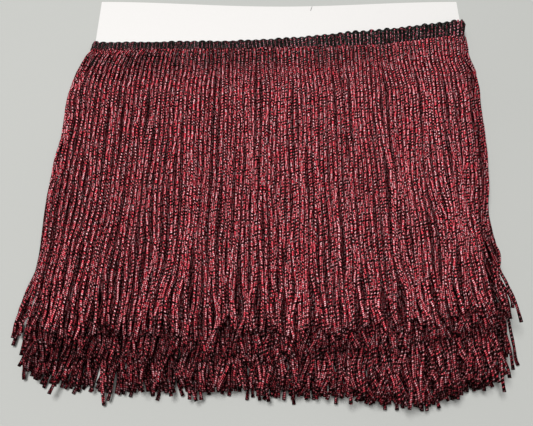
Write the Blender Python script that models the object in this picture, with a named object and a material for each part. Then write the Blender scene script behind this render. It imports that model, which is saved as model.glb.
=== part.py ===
# Chainette fringe trim, wound flat round a card that lies on a table.
#
# X runs along the heading, Y up the card from the tips of the strands, and Z up from the table.
# The trim goes round the card two and a half times, each turn a little higher up the card than the
# one before it, so that every heading lies on the card and its strands lie over the turns before.

import math
import random
from collections import namedtuple

import bmesh
import bpy
from mathutils import Vector

# The trim, in metres as everything here is
HEADING_HEIGHT = 0.0100
BAND_THICKNESS = 0.0014
ROOT_STRIP_HEIGHT = 0.0016
TRIM_DROP = 0.197
STRAND_PITCH = 0.00253
STRAND_WIDTH = 0.00165
STRAND_DEPTH = 0.0014
LOCK_STRANDS = 3
LOCK_GAP = 0.0010
TIP_SCATTER = 0.0018

# The scallops along the heading's top edge, one for each loop of two strands
SCALLOP_PITCH = 2 * STRAND_PITCH
SCALLOP_DEPTH = 0.0009
SCALLOP_CREST_SHARE = 0.55

# The card
CARD_WIDTH = 0.2450
CARD_THICKNESS = 0.0015
CARD_TOP_CORNER_Y = 0.0360
CARD_TOP_MIDDLE_Y = 0.0306
CARD_BOTTOM_Y = -0.0640
CARD_CORNER_RADIUS = 0.0020
CARD_CORNER_STEPS = 3
CARD_TOP_STEPS = 20
SLIT_X = 0.0170
SLIT_DEPTH = 0.0040
SLIT_WIDTH = 0.0006
SLIT_SLANT = 0.0012

# Clearances and the spacing of the layers, from the card's middle plane or from the table
GAP = 0.0003
STEP_OVER_GAP = 0.00035
BAND_OFFSET = CARD_THICKNESS / 2 + GAP + BAND_THICKNESS / 2
LAYER_PITCH = STRAND_DEPTH + GAP
STEP_OVER = BAND_THICKNESS / 2 + STRAND_DEPTH / 2 + STEP_OVER_GAP
CARD_MIDDLE_Z = STRAND_DEPTH / 2 + BAND_OFFSET + STEP_OVER
BACK_LEVELS = 2

# The turns round the card's side edges, and the loose end on its back
TURN_INSET = 0.0002
TURN_CENTRE_X = CARD_WIDTH / 2 - TURN_INSET
TURN_STEPS = 4
TAIL_LENGTH = 0.0140
CELLS_PER_COARSE_STEP = 5
SCALLOPS_PER_COARSE_STEP = 3
PLAIN_STEPS = 16

# Heights at which a strand bends, measured down Y
ROOT_BELOW_TOP = HEADING_HEIGHT + GAP + ROOT_STRIP_HEIGHT
HEADING_LIP = 0.0002
CARD_EDGE_CLEAR = 0.0010
CARD_EDGE_DROP = 0.0150
MIDDLE_Y = -0.1300
TIP_CLEAR = 0.0005
TIP_DROP_LENGTH = 0.0080

# How far the two side edges of the fringe stand out beyond the heading, down its length
Outline = namedtuple("Outline", "y left right")
OUTLINE = (
    Outline(0.0100, 0.0000, 0.0000),
    Outline(-0.0120, 0.0122, 0.0014),
    Outline(-0.0300, 0.0128, 0.0044),
    Outline(-0.0530, 0.0133, 0.0046),
    Outline(-0.0800, 0.0141, 0.0011),
    Outline(-0.1300, 0.0154, -0.0024),
    Outline(-0.1850, 0.0170, -0.0018),
    Outline(-0.2290, 0.0176, 0.0004),
)
SPREAD_LENGTH = 0.0065
LEFT_SPREAD_WIDTH = 0.0850
RIGHT_SPREAD_WIDTH = 0.0600
SPREAD_POWER = 1.4

# The passes across the card in the order in which they are wound, with the heights on the card of
# a pass's top edge at its two ends. Between them it rises as the power says.
Pass = namedtuple("Pass", "name front left_y right_y power scalloped lock_strands")
PASSES = (
    Pass("front_inner", True, -0.0290, -0.0300, 1.0, False, LOCK_STRANDS),
    Pass("back_inner", False, -0.0142, -0.0300, 1.0, False, LOCK_STRANDS),
    Pass("front_middle", True, -0.0142, 0.0028, 2.6, False, LOCK_STRANDS),
    Pass("back_outer", False, 0.0000, 0.0028, 1.0, True, LOCK_STRANDS),
    Pass("front_outer", True, 0.0000, 0.0170, 2.6, True, 1),
)
BACK_INNER = PASSES[1]
BACK_OUTER = PASSES[3]

SEED = 4

# Colours, as linear red, green, blue and alpha
BURGUNDY = (0.150, 0.018, 0.030, 1.0)
BLACK = (0.012, 0.010, 0.011, 1.0)
WHITE = (0.900, 0.880, 0.850, 1.0)

# A point along the wound band: its x, the way its outer face looks in X and Z, its height on the
# card, how far its fine edge is drawn in, whether both edges have a point here, and the pass whose
# strand hangs between it and the next one, if any.
Station = namedtuple("Station", "x normal top depth coarse strand")


def clear_scene():
    """Removes everything that is in the scene."""
    for thing in list(bpy.data.objects):
        bpy.data.objects.remove(thing, do_unlink=True)


def make_material(name, colour, roughness):
    """A plain material for one sub-part."""
    material = bpy.data.materials.new(name)
    material.use_nodes = True
    shader = material.node_tree.nodes["Principled BSDF"]
    shader.inputs["Base Color"].default_value = colour
    shader.inputs["Roughness"].default_value = roughness
    shader.inputs["Metallic"].default_value = 0.0
    return material


def make_object(name, builder, material):
    """Turns a finished bmesh into a named object."""
    bmesh.ops.recalc_face_normals(builder, faces=builder.faces)
    mesh = bpy.data.meshes.new(name)
    builder.to_mesh(mesh)
    builder.free()
    mesh.materials.append(material)
    thing = bpy.data.objects.new(name, mesh)
    bpy.context.scene.collection.objects.link(thing)
    return thing


def top_edge(row, x):
    """The height on the card of a pass's top edge."""
    share = min(max((x + TURN_CENTRE_X) / (2 * TURN_CENTRE_X), 0.0), 1.0)
    return row.left_y + (row.right_y - row.left_y) * share**row.power


def outline_at(y):
    """How far the left and right side edges stand out at this height."""
    if y >= OUTLINE[0].y:
        return OUTLINE[0].left, OUTLINE[0].right
    for upper, lower in zip(OUTLINE, OUTLINE[1:]):
        if y >= lower.y:
            share = (upper.y - y) / (upper.y - lower.y)
            left = upper.left + (lower.left - upper.left) * share
            right = upper.right + (lower.right - upper.right) * share
            return left, right
    return OUTLINE[-1].left, OUTLINE[-1].right


def spread_x(x, y, root_y):
    """Where what hangs from x on the root strip has gone by the height y."""
    left, right = outline_at(y)
    reached = 1.0 - math.exp(-max(root_y - y, 0.0) / SPREAD_LENGTH)
    from_left = max(0.0, 1.0 - (x + TURN_CENTRE_X) / LEFT_SPREAD_WIDTH)
    from_right = max(0.0, 1.0 - (TURN_CENTRE_X - x) / RIGHT_SPREAD_WIDTH)
    shift = right * from_right**SPREAD_POWER - left * from_left**SPREAD_POWER
    return x + reached * shift


def passes_under(row):
    """The passes on the same face of the card that lie under this one, nearest the card first."""
    earlier = PASSES[: PASSES.index(row)]
    return [other for other in earlier if other.front == row.front]


def offset_from_card(row, x, y):
    """How far a strand's middle lies from the card's middle plane, over the turns under it."""
    offset = BAND_OFFSET
    for other in passes_under(row):
        top = top_edge(other, x)
        if y <= top - ROOT_BELOW_TOP:
            offset = max(offset, offset_from_card(other, x, y) + LAYER_PITCH)
        elif y <= top + HEADING_LIP:
            offset = max(offset, BAND_OFFSET + STEP_OVER)
    return offset


def level_height(level):
    """The middle of a strand on this level of the pile, where level 0 lies on the table."""
    return STRAND_DEPTH / 2 + level * LAYER_PITCH


def strand_stations(row, x, tip_y):
    """Where a strand bends, as heights on Y with its Z there, from its root to its tip."""
    side = 1.0 if row.front else -1.0
    stations = [(top_edge(row, x) - ROOT_BELOW_TOP, CARD_MIDDLE_Z + side * BAND_OFFSET)]
    for other in reversed(passes_under(row)):
        y = top_edge(other, x) + HEADING_LIP
        stations.append((y, CARD_MIDDLE_Z + side * offset_from_card(row, x, y)))
    if row.front:
        level = BACK_LEVELS + len(passes_under(row))
        edge_y = CARD_BOTTOM_Y - CARD_EDGE_CLEAR
        stations.append((edge_y, CARD_MIDDLE_Z + offset_from_card(row, x, edge_y)))
        stations.append((edge_y - CARD_EDGE_DROP, level_height(level)))
    else:
        level = BACK_LEVELS - 1 - len(passes_under(row))
    stations.append((MIDDLE_Y, level_height(level)))
    for other in (BACK_OUTER, BACK_INNER):
        end_y = top_edge(other, x) - TRIM_DROP - TIP_SCATTER - TIP_CLEAR
        if tip_y < end_y - TIP_DROP_LENGTH:
            stations.append((end_y, level_height(level)))
            level -= 1
            stations.append((end_y - TIP_DROP_LENGTH, level_height(level)))
    stations.append((tip_y, level_height(level)))
    return stations


def section(builder, x_from, x_to, y, z):
    """The four corners of a strand's section, round from its upper left."""
    half = STRAND_DEPTH / 2
    corners = ((x_from, z + half), (x_to, z + half), (x_to, z - half), (x_from, z - half))
    return [builder.verts.new((corner_x, y, corner_z)) for corner_x, corner_z in corners]


def add_strand(builder, row, root, chance):
    """Hangs one strand or lock from its four root corners on the strip's lower face."""
    x_from = root[0].co.x
    x_to = root[1].co.x
    x = (x_from + x_to) / 2
    root_y = (root[0].co.y + root[1].co.y) / 2
    tip_y = top_edge(row, x) - TRIM_DROP + chance.uniform(-TIP_SCATTER, TIP_SCATTER)
    above = root
    for y, z in strand_stations(row, x, tip_y)[1:]:
        below = section(builder, spread_x(x_from, y, root_y), spread_x(x_to, y, root_y), y, z)
        for corner in range(4):
            after = (corner + 1) % 4
            builder.faces.new((above[corner], above[after], below[after], below[corner]))
        above = below
    builder.faces.new(above)


def run_ends(row):
    """The x at which a pass starts and ends, in the order in which it is wound."""
    return (-TURN_CENTRE_X, TURN_CENTRE_X) if row.front else (TURN_CENTRE_X, -TURN_CENTRE_X)


def wound_stations(fine_points):
    """The stations of a band that follows every pass, with a half turn after each.

    fine_points(row) gives a pass's points between its ends, as x, depth, coarse and strand."""
    stations = []
    for row in PASSES:
        start, end = run_ends(row)
        normal = (0.0, 1.0 if row.front else -1.0)
        points = sorted(fine_points(row), reverse=not row.front)
        stations.append(Station(start, normal, top_edge(row, start), 0.0, True, None))
        for x, depth, coarse, strand in points:
            stations.append(Station(x, normal, top_edge(row, x), depth, coarse, strand))
        stations.append(Station(end, normal, top_edge(row, end), 0.0, True, None))
        for step in range(1, TURN_STEPS):
            angle = math.pi * step / TURN_STEPS
            side = math.copysign(1.0, end)
            turned = (side * math.sin(angle), normal[1] * math.cos(angle))
            stations.append(Station(end, turned, top_edge(row, end), 0.0, True, None))
    last = stations[-1]
    stations.append(last._replace(normal=(0.0, -1.0)))
    return stations


def band_corner(builder, station, outer, y):
    """A corner of the band's section, on its outer or its inner face."""
    half = BAND_THICKNESS / 2 if outer else -BAND_THICKNESS / 2
    reach = BAND_OFFSET + half
    x = station.x + station.normal[0] * reach
    z = CARD_MIDDLE_Z + station.normal[1] * reach
    return builder.verts.new(Vector((x, y, z)))


def add_fan(builder, fine, first, last):
    """Closes a stretch of the band's face, between its fine edge and two coarse points."""
    middle = len(fine) // 2
    for before, after in zip(fine[: middle + 1], fine[1 : middle + 1]):
        builder.faces.new((first, before, after))
    builder.faces.new((first, fine[middle], last))
    for before, after in zip(fine[middle:], fine[middle + 1 :]):
        builder.faces.new((last, before, after))


def add_band(builder, stations, fine_y, coarse_y):
    """Makes a closed band, but for the cells of its fine edge from which strands hang.

    Returns those cells, as the pass and the four corners round the cell."""
    fine = []
    coarse = []
    for index, station in enumerate(stations):
        y = fine_y(station)
        pair = (band_corner(builder, station, True, y), band_corner(builder, station, False, y))
        fine.append(pair)
        if station.coarse:
            y = coarse_y(station)
            pair = (band_corner(builder, station, True, y), band_corner(builder, station, False, y))
            coarse.append((index, pair))
    cells = []
    for station, here, there in zip(stations, fine, fine[1:]):
        if station.strand is None:
            builder.faces.new((here[0], there[0], there[1], here[1]))
        else:
            cells.append((station.strand, (here[0], there[0], there[1], here[1])))
    for (start, first), (end, last) in zip(coarse, coarse[1:]):
        builder.faces.new((first[0], last[0], last[1], first[1]))
        for face in (0, 1):
            stretch = [pair[face] for pair in fine[start : end + 1]]
            add_fan(builder, stretch, first[face], last[face])
    for edge, (_, corner) in ((fine[0], coarse[0]), (fine[-1], coarse[-1])):
        builder.faces.new((edge[0], edge[1], corner[1], corner[0]))
    return cells


def scallop_points(row):
    """The corners of a pass's scallops, or a few plain points where later turns cover it."""
    if not row.scalloped:
        step = 2 * TURN_CENTRE_X / PLAIN_STEPS
        return [(i * step - TURN_CENTRE_X, 0.0, True, None) for i in range(1, PLAIN_STEPS)]
    count = int(2 * TURN_CENTRE_X / SCALLOP_PITCH)
    half_crest = SCALLOP_CREST_SHARE * SCALLOP_PITCH / 2
    points = []
    for i in range(count):
        middle = (i + 0.5 - count / 2) * SCALLOP_PITCH
        points.append((middle - half_crest, 0.0, i % SCALLOPS_PER_COARSE_STEP == 0, None))
        points.append((middle + half_crest, 0.0, False, None))
        if i < count - 1:
            points.append((middle + SCALLOP_PITCH / 2, SCALLOP_DEPTH, False, None))
    return points


def build_heading(material):
    """The woven heading: one band that winds round the card, scalloped along its top edge."""
    stations = wound_stations(scallop_points)
    stations.append(stations[-1]._replace(x=TURN_CENTRE_X - TAIL_LENGTH))
    builder = bmesh.new()
    add_band(
        builder,
        stations,
        lambda station: station.top - station.depth,
        lambda station: station.top - HEADING_HEIGHT,
    )
    return make_object("heading", builder, material)


def cell_points(row):
    """Both sides of every strand or lock of a pass, the first in winding order holding it."""
    cell = row.lock_strands * STRAND_PITCH
    locks = int(2 * TURN_CENTRE_X / (LOCK_STRANDS * STRAND_PITCH))
    count = locks * LOCK_STRANDS // row.lock_strands
    gap = STRAND_PITCH - STRAND_WIDTH if row.lock_strands == 1 else LOCK_GAP
    points = []
    for i in range(count):
        left = (i - count / 2) * cell + gap / 2
        right = left + cell - gap
        coarse = i % max(CELLS_PER_COARSE_STEP // row.lock_strands, 1) == 0
        points.append((left, 0.0, coarse, row if row.front else None))
        points.append((right, 0.0, False, None if row.front else row))
    return points


def build_fringe(material):
    """The strip in which the strands are fused, just under the heading, and all its strands."""
    chance = random.Random(SEED)
    builder = bmesh.new()
    cells = add_band(
        builder,
        wound_stations(cell_points),
        lambda station: station.top - ROOT_BELOW_TOP,
        lambda station: station.top - HEADING_HEIGHT - GAP,
    )
    for row, corners in cells:
        middle_x = sum(corner.co.x for corner in corners) / 4
        left = sorted((c for c in corners if c.co.x < middle_x), key=lambda c: c.co.z)
        right = sorted((c for c in corners if c.co.x > middle_x), key=lambda c: c.co.z)
        add_strand(builder, row, (left[1], right[1], right[0], left[0]), chance)
    return make_object("fringe", builder, material)


def card_outline():
    """The card's outline, anticlockwise from its lower left corner."""
    half = CARD_WIDTH / 2
    radius = CARD_CORNER_RADIUS
    outline = []
    for side, first in ((-1.0, 180.0), (1.0, 270.0)):
        for step in range(CARD_CORNER_STEPS + 1):
            angle = math.radians(first + 90.0 * step / CARD_CORNER_STEPS)
            x = side * (half - radius) + radius * math.cos(angle)
            outline.append((x, CARD_BOTTOM_Y + radius + radius * math.sin(angle)))
    dip = CARD_TOP_CORNER_Y - CARD_TOP_MIDDLE_Y
    slit_from = SLIT_X - SLIT_WIDTH / 2
    slit_to = SLIT_X + SLIT_WIDTH / 2
    across = [half - CARD_WIDTH * i / CARD_TOP_STEPS for i in range(CARD_TOP_STEPS + 1)]
    across = sorted([x for x in across if x < slit_from or x > slit_to] + [slit_from, slit_to])
    for x in reversed(across):
        y = CARD_TOP_CORNER_Y - dip * math.cos(math.pi * x / CARD_WIDTH) ** 2
        if x == slit_from:
            outline.append((x - SLIT_SLANT, y - SLIT_DEPTH))
        outline.append((x, y))
        if x == slit_to:
            outline.append((x - SLIT_SLANT, y - SLIT_DEPTH))
    return outline


def build_card(material):
    """The stiff white card, with a dipped top edge, round lower corners and a small slit."""
    builder = bmesh.new()
    bottom_z = CARD_MIDDLE_Z - CARD_THICKNESS / 2
    face = builder.faces.new([builder.verts.new((x, y, bottom_z)) for x, y in card_outline()])
    grown = bmesh.ops.extrude_face_region(builder, geom=[face])
    lifted = [item for item in grown["geom"] if isinstance(item, bmesh.types.BMVert)]
    bmesh.ops.translate(builder, verts=lifted, vec=(0.0, 0.0, CARD_THICKNESS))
    return make_object("winding_card", builder, material)


def stand_on_middle(things):
    """Moves all the objects together, so that the middle of their base is at the origin."""
    corners = [vertex.co for thing in things for vertex in thing.data.vertices]
    middle_x = (min(c.x for c in corners) + max(c.x for c in corners)) / 2
    middle_y = (min(c.y for c in corners) + max(c.y for c in corners)) / 2
    base_z = min(c.z for c in corners)
    for thing in things:
        thing.location = (-middle_x, -middle_y, -base_z)


def main():
    """Builds the card, the heading and the fringe."""
    clear_scene()
    things = [
        build_card(make_material("white_card", WHITE, 0.6)),
        build_heading(make_material("black_yarn", BLACK, 0.7)),
        build_fringe(make_material("burgundy_chainette", BURGUNDY, 0.5)),
    ]
    stand_on_middle(things)


main()
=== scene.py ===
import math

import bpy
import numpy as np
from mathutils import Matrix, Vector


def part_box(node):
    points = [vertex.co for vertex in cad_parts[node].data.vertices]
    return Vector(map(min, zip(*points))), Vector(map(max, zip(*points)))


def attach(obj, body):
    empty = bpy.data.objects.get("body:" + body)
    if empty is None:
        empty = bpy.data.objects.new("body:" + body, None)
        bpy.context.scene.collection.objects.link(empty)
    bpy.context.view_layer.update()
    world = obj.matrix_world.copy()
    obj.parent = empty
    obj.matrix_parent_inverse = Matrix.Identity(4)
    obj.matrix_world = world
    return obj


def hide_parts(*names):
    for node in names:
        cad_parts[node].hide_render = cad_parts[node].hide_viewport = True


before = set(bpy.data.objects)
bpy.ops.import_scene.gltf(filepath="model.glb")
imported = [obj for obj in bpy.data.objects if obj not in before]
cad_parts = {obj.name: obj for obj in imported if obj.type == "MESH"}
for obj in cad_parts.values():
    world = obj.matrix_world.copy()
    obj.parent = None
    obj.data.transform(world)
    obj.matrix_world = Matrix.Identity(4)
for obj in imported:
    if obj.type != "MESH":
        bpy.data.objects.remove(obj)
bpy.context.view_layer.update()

# Chainette fringe trim wound on a white card, as it lies on a pale table.
#
# Everything is worked out in millimetres in the heading's own frame, where the outermost heading's
# left end is at y = 0, x = 0 is the card's middle and z = 0 the table, and is then moved into place.
# Strands are laid down one by one over a grid of heights, so that each rests on those before it.

# The trim
HEADING_HEIGHT = 10.0
DROP = 197.0
STRAND_PITCH = 2.53
STRAND_HALF_WIDE = 0.86
STRAND_HALF_THICK = 0.75
STRANDS_IN_PASS = 96

# How much wider a strand is at its root, and over what length in the outer turn and the others
ROOT_WIDENING = 0.38
OUTER_ROOT_LENGTH = 4.0
INNER_ROOT_LENGTH = 22.0

# A settled strand's height as a share of its width
FLATTENED = 0.82

# The card
CARD_HALF = 122.5
CARD_TOP_CORNER = 36.0
CARD_TOP_DIP = 4.2
CARD_TOP_STEPS = 48
CARD_BOTTOM = -64.0
CARD_CORNER = 2.0
CARD_CORNER_STEPS = 4
CARD_MIDDLE_Z = 4.2
CARD_HALF_THICK = 0.75
CARD_TOP_Z = 4.95
SLIT_X = 22.8
SLIT_HALF_WIDTH = 0.3
SLIT_DEPTH = 4.0
SLIT_SLANT = 1.2

# The winding: the heading's distance from the card's middle plane, its side turns and its loose end
BAND_OFFSET = 1.75
BAND_HALF = 0.7
TURN_X = 122.3
TURN_ANGLES = (50.0, 130.0)
TURN_STEPS = 8
PASS_POINTS = 98
END_INSET = 1.2
TAIL_LENGTH = 14.0

# The heading's woven ground, its ribs, how far they lean for their height, and its threads
GROUND_TOP = 9.2
GROUND_HALF_THICK = 0.2
RIB_LEG = 8.0
RIB_ARCH = 1.1
RIB_HALF_WIDE = 1.14
RIB_HALF_THICK = 0.76
HEADING_LEAN = 0.07
THREAD_LIFT = 0.62
THREAD_HALF_WIDE = 0.36
THREAD_HALF_THICK = 0.32

# The red tuft at the outer heading's right end: where it starts, over what length it comes to
# the full and the height above which it is
TUFT_X = 111.0
TUFT_LENGTH = 5.0
TUFT_MIN_Z = 6.5

# Whether a pass is on the front, the heights of its lower edge at both ends and how it rises
PASSES = {
    "front_inner": (True, -33.5, -38.0, 2.0),
    "back_inner": (False, -20.0, -40.0, 1.0),
    "front_middle": (True, -20.0, -4.5, 3.0),
    "back_outer": (False, -10.0, -6.5, 1.0),
    "front_outer": (True, -9.3, 4.5, 1.0),
}

# The outermost heading twists: share of the way, lower edge's y and z, and the heading's tilt
TWIST = np.array(
    [
        (0.000, -9.3, 9.0, -19.0),
        (0.370, -8.2, 9.0, -19.0),
        (0.555, -6.2, 7.6, -8.0),
        (0.650, -4.8, 7.1, 12.0),
        (0.770, -3.4, 7.0, 34.0),
        (0.880, 1.0, 7.0, 40.0),
        (1.000, 5.4, 7.0, 36.0),
    ]
)

# How far the fringe stands out beyond the heading: height, left, right, and the inner turns'
# left
OUTLINE = np.array(
    [
        (10.0, 0.0, 0.0, 0.0),
        (-12.0, 11.4, -2.0, 6.0),
        (-27.0, 11.2, 0.8, 8.0),
        (-38.0, 11.4, -0.6, 8.5),
        (-69.0, 11.2, -1.5, 9.0),
        (-116.0, 12.2, -6.0, 9.5),
        (-142.0, 13.3, -6.8, 9.5),
        (-170.0, 15.2, -10.6, 9.5),
        (-188.0, 16.6, -8.5, 11.0),
        (-203.0, 17.0, -8.5, 15.0),
        (-229.0, 17.0, -9.0, 23.0),
    ]
)

# Over what length a strand gets there, how far in from each side others follow and how steeply
SPREAD_LENGTH = 6.5
LEFT_SPREAD = 85.0
RIGHT_SPREAD = 60.0
SPREAD_POWER = 1.4

# How much shorter the inner turns' strands are at the two corners, and over what width
LEFT_CORNER = (20.0, 22.0)
RIGHT_CORNER = (16.0, 25.0)

# How much longer the inner turns' strands hang, as x and extra length
TIPS = np.array(
    [
        (-123.0, 0.0),
        (-100.0, -1.5),
        (-80.0, -0.5),
        (0.0, -0.5),
        (15.0, 1.0),
        (40.0, 2.5),
        (60.0, 3.8),
        (72.0, 3.0),
        (82.0, 0.0),
        (92.0, -3.5),
        (104.0, -5.0),
        (123.0, -5.0),
    ]
)

# How a strand wanders: the length over which it comes from its root to its place, how much it
# sways with its neighbours, also lower down, and on its own, from where, over what length and
# how steeply it comes loose, and how much and over what length its tip curls
ROOT_EASE = 12.0
TOGETHER = 0.25
TOGETHER_LOWER = 0.55
ALONE = 0.16
LOOSE_START = 110.0
LOOSE_LENGTH = 90.0
LOOSE_POWER = 1.5
CURL = 0.75
CURL_LENGTH = 60.0

# The radius in which strands bend over others, and the length in which they come down from
# their roots: on the back, under the outer turn and in it
BACK_DRAPE = (20.0, 8.0)
UNDER_DRAPE = (16.0, 6.0)
OUTER_DRAPE = (14.0, 7.0)

# How strongly strands keep their direction and their place when they settle
KEEP_DIRECTION = 6.0
KEEP_PLACE = 0.12
KEEP_ROOT = 20.0

# How much darker strands look, out of 1: painted shade in the turns under the outer one, darker
# at their tips, painted shade on the right flank of the fringe, and darker towards the lower left
UNDER_PAINTED_SHADE = 0.30
TIP_DARK = 0.25
TIP_DARK_LENGTH = 12.0
RIGHT_FLANK_SHADE = 0.45
RIGHT_FLANK_SHADE_X = 113.0
LEFT_DARK = 0.25
LEFT_DARK_X = -105.0

# Strands that stray: their pass, the x where they hang, how much longer they are and how far
# aside their tips go, over this last part of their length
STRAY_LENGTH = 55.0
STRAYS = (
    ("front_inner", -121.0, 6.5, 0.5),
    ("front_inner", -117.0, 6.0, 2.5),
    ("front_inner", -101.0, 6.5, -1.0),
    ("front_inner", -98.0, 3.0, 0.0),
    ("front_inner", -86.0, 4.0, 6.0),
    ("front_inner", -79.0, 4.5, -6.0),
    ("front_inner", -60.0, 4.5, 1.0),
    ("front_inner", -8.0, 4.0, 1.0),
    ("front_inner", 107.0, 3.0, 3.0),
    ("front_inner", 113.0, 7.0, 1.0),
    ("front_inner", 118.0, -1.0, 5.0),
    ("front_inner", 121.0, 1.0, 9.0),
    ("front_middle", -123.0, 2.0, -1.0),
    ("front_middle", -119.0, 1.0, 0.0),
    ("front_outer", -123.0, 2.0, -1.0),
    ("front_outer", -121.0, -3.0, -0.5),
    ("front_outer", 118.0, 4.0, 5.0),
    ("front_outer", 121.0, 8.0, 7.5),
)

# The grid of heights, and how many bins a strand reaches and may settle to either side
X_MIN = -160.0
X_MAX = 150.0
BIN = 0.1
BINS = int(round((X_MAX - X_MIN) / BIN)) + 1
Y_TOP = 22.0
Y_STEP = 2.0
ROWS = 130
GRID_Y = Y_TOP - Y_STEP * np.arange(ROWS)
REACH = int(round(STRAND_HALF_WIDE / BIN))
WANDER = 10

# From the heading's frame to the frame of the part, found from where the card is
CARD_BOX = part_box("winding_card")
SHIFT = np.array(
    [
        (CARD_BOX[0][0] + CARD_BOX[1][0]) / 2 * 1000.0,
        CARD_BOX[1][1] * 1000.0 - CARD_TOP_CORNER,
        0.0,
    ]
)

# The camera: its place in the heading's frame in millimetres, its height in metres, its tilt
# in degrees and its lens
CAMERA_FROM_HEADING = (-8.7, -245.6)
CAMERA_HEIGHT = 0.290
CAMERA_TILT = 23.3
CAMERA_LENS = 36.47
CAMERA_SENSOR = 36.0

# The lights, with place in metres, size and power, then the room's light and the table
KEY_LIGHT = ((-0.32, 0.22, 1.68), 0.8, 35.0)
FILL_LIGHT = ((0.5, -0.9, 1.5), 1.2, 6.0)
ROOM_COLOUR = (1.0, 0.995, 0.985, 1.0)
ROOM_LIGHT = 0.16
TABLE_HALF = 3.0


def smoothstep(value):
    """Rises from 0 to 1 with soft ends."""
    share = np.clip(value, 0.0, 1.0)
    return share * share * (3 - 2 * share)


def share_across(x):
    """How far across the card x lies, from 0 at the left turn to 1 at the right one."""
    return np.clip((x + TURN_X) / (2 * TURN_X), 0.0, 1.0)


def twist_at(x):
    """The outermost heading's lower edge, as y and z, and its tilt in degrees."""
    near = np.linspace(-0.06, 0.06, 7)
    shares = np.asarray(share_across(x))[..., None] + near
    return [np.interp(shares, TWIST[:, 0], TWIST[:, i]).mean(axis=-1) for i in (1, 2, 3)]


def lower_edge(name, x):
    """The height on the card of the lower edge of a pass's heading."""
    if name == "front_outer":
        return twist_at(x)[0]
    _, left, right, power = PASSES[name]
    return left + (right - left) * share_across(x) ** power


def spread(x, y, root_y, inner):
    """The x at heights y of a strand that hangs from x, where the fringe widens."""
    left = np.interp(-y, -OUTLINE[:, 0], OUTLINE[:, 3 if inner else 1])
    right = np.interp(-y, -OUTLINE[:, 0], OUTLINE[:, 2])
    reached = 1.0 - np.exp(-np.maximum(root_y - y, 0.0) / SPREAD_LENGTH)
    from_left = max(0.0, 1.0 - (x + TURN_X) / LEFT_SPREAD)
    from_right = max(0.0, 1.0 - (TURN_X - x) / RIGHT_SPREAD)
    return x + reached * (right * from_right**SPREAD_POWER - left * from_left**SPREAD_POWER)


class Waves:
    """A smooth random field over the table, made of a few plane waves."""

    def __init__(self, chance, count, long_x, short_x, long_y, short_y):
        self.kx = 2 * math.pi / chance.uniform(short_x, long_x, count)
        self.ky = 2 * math.pi / chance.uniform(short_y, long_y, count) * chance.choice((-1, 1), count)
        self.phase = chance.uniform(0, 2 * math.pi, count)
        self.scale = math.sqrt(2.0 / max(count, 1))

    def at(self, x, y):
        total = np.zeros(np.broadcast(x, y).shape)
        for kx, ky, phase in zip(self.kx, self.ky, self.phase):
            total = total + np.sin(kx * x + ky * y + phase)
        return total * self.scale


def wobble(chance, length, short, long, count=4):
    """A smooth random curve down a strand."""
    total = np.zeros_like(length)
    for _ in range(count):
        k = 2 * math.pi / chance.uniform(short, long)
        total += np.sin(k * length + chance.uniform(0, 2 * math.pi))
    return total * math.sqrt(2.0 / count)


# How high a strand's round side stands over its middle, for each bin that it reaches
CIRCLE_X = np.arange(-REACH, REACH + 1) * BIN
CIRCLE = FLATTENED * np.sqrt(np.maximum(STRAND_HALF_WIDE**2 - CIRCLE_X**2, 0.0))


class Pile:
    """The heights of what already lies on the table."""

    def __init__(self):
        self.height = np.zeros((ROWS, BINS))

    def needed(self, rows, x):
        """The z that a strand's middle needs on the rows, for x as (rows, choices)."""
        bins = np.rint((x - X_MIN) / BIN).astype(int)
        best = np.zeros(x.shape)
        for offset, rise in zip(range(-REACH, REACH + 1), CIRCLE):
            there = self.height[rows[:, None], np.clip(bins + offset, 0, BINS - 1)]
            best = np.maximum(best, there + rise)
        return best

    def stamp(self, rows, x, z, slope):
        """Adds a strand to the pile, wider where it runs at a slope."""
        widen = np.sqrt(1.0 + slope**2)
        for row, middle, top, factor in zip(rows, x, z, widen):
            reach = int(math.ceil(STRAND_HALF_WIDE * factor / BIN))
            first = int(round((middle - X_MIN) / BIN)) - reach
            span = (np.arange(2 * reach + 1) + first) * BIN + X_MIN - middle
            rise = FLATTENED * np.sqrt(np.maximum(STRAND_HALF_WIDE**2 - (span / factor) ** 2, 0.0))
            part = self.height[row, first : first + 2 * reach + 1]
            np.maximum(part, np.where(rise > 0, top + rise, 0.0), out=part)

    def block(self, x_from, x_to, y_from, y_to, top):
        """Adds something flat, whose y edges may change with x."""
        first = int(round((x_from - X_MIN) / BIN))
        last = int(round((x_to - X_MIN) / BIN))
        x = X_MIN + BIN * np.arange(first, last)
        low = y_from(x)[None, :]
        high = y_to(x)[None, :]
        inside = (GRID_Y[:, None] >= low) & (GRID_Y[:, None] <= high)
        part = self.height[:, first:last]
        np.maximum(part, np.where(inside, top, 0.0), out=part)


# The ways aside that a strand can settle, and what a change and the way itself cost it
STEPS = np.arange(-WANDER, WANDER + 1) * BIN
MOVE_COST = KEEP_DIRECTION * (STEPS[:, None] - STEPS[None, :]) ** 2
STRAY_COST = KEEP_PLACE * STEPS**2


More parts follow.
